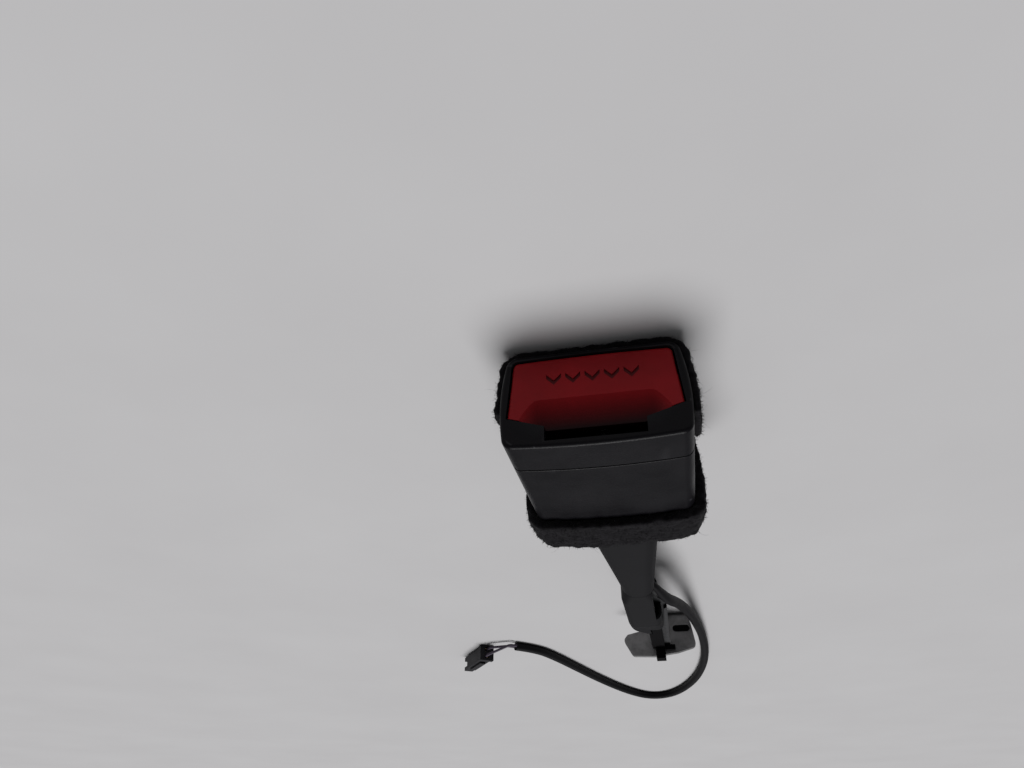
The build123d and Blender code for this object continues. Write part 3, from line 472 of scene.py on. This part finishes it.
def matted(node, seed):
    """Felt strip: the node's shape with soft edges and a lumpy, matted face."""
    mesh = remeshed(node, FELT_VOXEL)
    relax(mesh, RELAX_ROUNDS)
    normals = [v.normal.copy() for v in mesh.vertices]
    offset = Vector((seed, 0, 0))
    for vertex, normal in zip(mesh.vertices, normals):
        p = vertex.co
        lump = noise.noise(p * LUMP_RATE + offset) * LUMP_HEIGHT
        knot = noise.noise(p * KNOT_RATE + offset) * KNOT_HEIGHT
        tuft = abs(noise.noise(p * TUFT_RATE + offset)) * TUFT_HEIGHT
        vertex.co = p + normal * (lump + knot + tuft)
        vertex.co.z = max(vertex.co.z, FLOOR_CLEAR)
    for polygon in mesh.polygons:
        polygon.use_smooth = True
    return mesh


HEAD_MID_Z = 0.016
END_FACE_LEAN = 0.6  # a face whose normal has more of Y than this counts as an end face


def outward_faces(mesh):
    """Faces that look away from the head's middle or along Y, as (centre, normal, area)."""
    rows = []
    for polygon in mesh.polygons:
        centre, normal = polygon.center, polygon.normal
        outwards = Vector((centre.x, 0, centre.z - HEAD_MID_Z))
        sideways = Vector((normal.x, 0, normal.z))
        if abs(normal.y) > END_FACE_LEAN or sideways.dot(outwards) > 0:
            rows.append((centre.copy(), normal.copy(), polygon.area))
    return rows


FIBRE_SIDES = 3
FIBRE_RINGS = 4
FIBRE_LENGTH = (0.0005, 0.0015)
FIBRE_RADIUS = (0.000035, 0.00008)
LONG_SHARE = 0.008
LONG_LENGTH = (0.0025, 0.005)
LONG_RADIUS = 0.00003
FIBRE_RISE = (0.15, 1.0)
FIBRE_WANDER = 0.8
FIBRE_CURL = 0.55
FIBRE_TAPER = 0.75
FIBRE_ROOT = 0.0002


def random_vector(rng):
    """A vector with a random direction and length."""
    return Vector((rng.gauss(0, 1), rng.gauss(0, 1), rng.gauss(0, 1)))


def fibre_size(rng):
    """Length and radius of one fibre. A few are long and thin."""
    length = rng.uniform(*FIBRE_LENGTH)
    radius = rng.uniform(*FIBRE_RADIUS)
    if rng.random() < LONG_SHARE:
        length = rng.uniform(*LONG_LENGTH)
        radius = LONG_RADIUS
    return length, radius


def fibre_ring(bm, point, direction, thick):
    """One ring of a fibre's vertices, kept above the floor."""
    side = direction.orthogonal().normalized()
    other = direction.cross(side)
    ring = []
    for n in range(FIBRE_SIDES):
        angle = 2 * math.pi * n / FIBRE_SIDES
        at = point + (side * math.cos(angle) + other * math.sin(angle)) * thick
        at.z = max(at.z, FLOOR_CLEAR)
        ring.append(bm.verts.new(at))
    return ring


def fibre_rings(bm, rng, centre, normal):
    """The rings of one curled fibre that stands out of a face."""
    length, radius = fibre_size(rng)
    wander = random_vector(rng).normalized()
    direction = (normal * rng.uniform(*FIBRE_RISE) + wander * FIBRE_WANDER).normalized()
    curl = random_vector(rng) * FIBRE_CURL
    point = centre - normal * FIBRE_ROOT
    rings = []
    for ring in range(FIBRE_RINGS):
        thick = radius * (1.0 - FIBRE_TAPER * ring / (FIBRE_RINGS - 1))
        rings.append(fibre_ring(bm, point, direction, thick))
        point = point + direction * (length / (FIBRE_RINGS - 1))
        direction = (direction + curl).normalized()
    return rings


def skin(bm, rings):
    """Closed skin over the rings of a fibre."""
    for low, high in zip(rings, rings[1:]):
        for n in range(FIBRE_SIDES):
            after = (n + 1) % FIBRE_SIDES
            bm.faces.new((low[n], low[after], high[after], high[n]))
    bm.faces.new(rings[-1])
    bm.faces.new(reversed(rings[0]))


def fibres(name, mesh, count, seed):
    """Loose curled fibres standing out of a felt strip, as one mesh."""
    rng = random.Random(seed)
    faces = outward_faces(mesh)
    chosen = rng.choices(faces, weights=[area for _, _, area in faces], k=count)
    bm = bmesh.new()
    for centre, normal, _ in chosen:
        skin(bm, fibre_rings(bm, rng, centre, normal))
    fuzz = bpy.data.meshes.new(name)
    bm.to_mesh(fuzz)
    bm.free()
    return fuzz


# Each felt strip, with how many fibres stand out of it and its random seed.
STRIPS = (("felt_band", 5200, 11), ("felt_collar", 7600, 23))
for strip, count, seed in STRIPS:
    strip_mesh = matted(strip, seed)
    add_mesh(strip + "_pile", strip_mesh, MATERIALS["felt"], [strip])
    fuzz_mesh = fibres(strip + "_fibres", strip_mesh, count, seed)
    add_mesh(strip + "_fibres", fuzz_mesh, MATERIALS["felt"])


# ---------------------------------------------------------------- floor and light
FLOOR_HALF = 12.0
FLOOR_CLOUD = 0.09
FLOOR_DARKER = (0.475, 0.468, 0.474)
FLOOR_LIGHTER = (0.5, 0.494, 0.5)
SKY_COLOUR = (0.97, 0.98, 1.0, 1.0)
SKY_STRENGTH = 0.15
KEY_FROM = Vector((0.06, 0.37, 1.0))
KEY_ENERGY = 2.92
KEY_ANGLE = 43  # degrees across, for shadows about as soft as the photograph's


def floor_material():
    """Pale matt surface with the faintest unevenness."""
    mat, tree, shader, coords = new_material("floor")
    cloud = noise_node(tree, coords, FLOOR_CLOUD, detail=4.0, rough=0.55)
    body = ramp(tree, cloud, [(0.25, FLOOR_DARKER), (0.75, FLOOR_LIGHTER)])
    tree.links.new(body, shader.inputs["Base Color"])
    shader.inputs["Roughness"].default_value = 1.0
    shader.inputs["Specular IOR Level"].default_value = 0.0
    return mat


def make_floor():
    """The surface that the buckle lies on."""
    low, high = -FLOOR_HALF, FLOOR_HALF
    corners = [(low, low, 0), (high, low, 0), (high, high, 0), (low, high, 0)]
    mesh = bpy.data.meshes.new("floor")
    mesh.from_pydata(corners, [], [(0, 1, 2, 3)])
    floor = bpy.data.objects.new("floor", mesh)
    floor.data.materials.append(floor_material())
    scene.collection.objects.link(floor)


def make_sky():
    """Faint light from all round."""
    world = bpy.data.worlds.new("world")
    world.use_nodes = True
    background = world.node_tree.nodes["Background"]
    background.inputs["Color"].default_value = SKY_COLOUR
    background.inputs["Strength"].default_value = SKY_STRENGTH
    scene.world = world


def make_key_light():
    """Broad soft light from above, a little from the anchor's side."""
    data = bpy.data.lights.new("key", "SUN")
    data.energy = KEY_ENERGY
    data.angle = math.radians(KEY_ANGLE)
    key = bpy.data.objects.new("key", data)
    key.rotation_mode = "QUATERNION"
    key.rotation_quaternion = KEY_FROM.to_track_quat("Z", "Y")
    scene.collection.objects.link(key)


make_floor()
make_sky()
make_key_light()
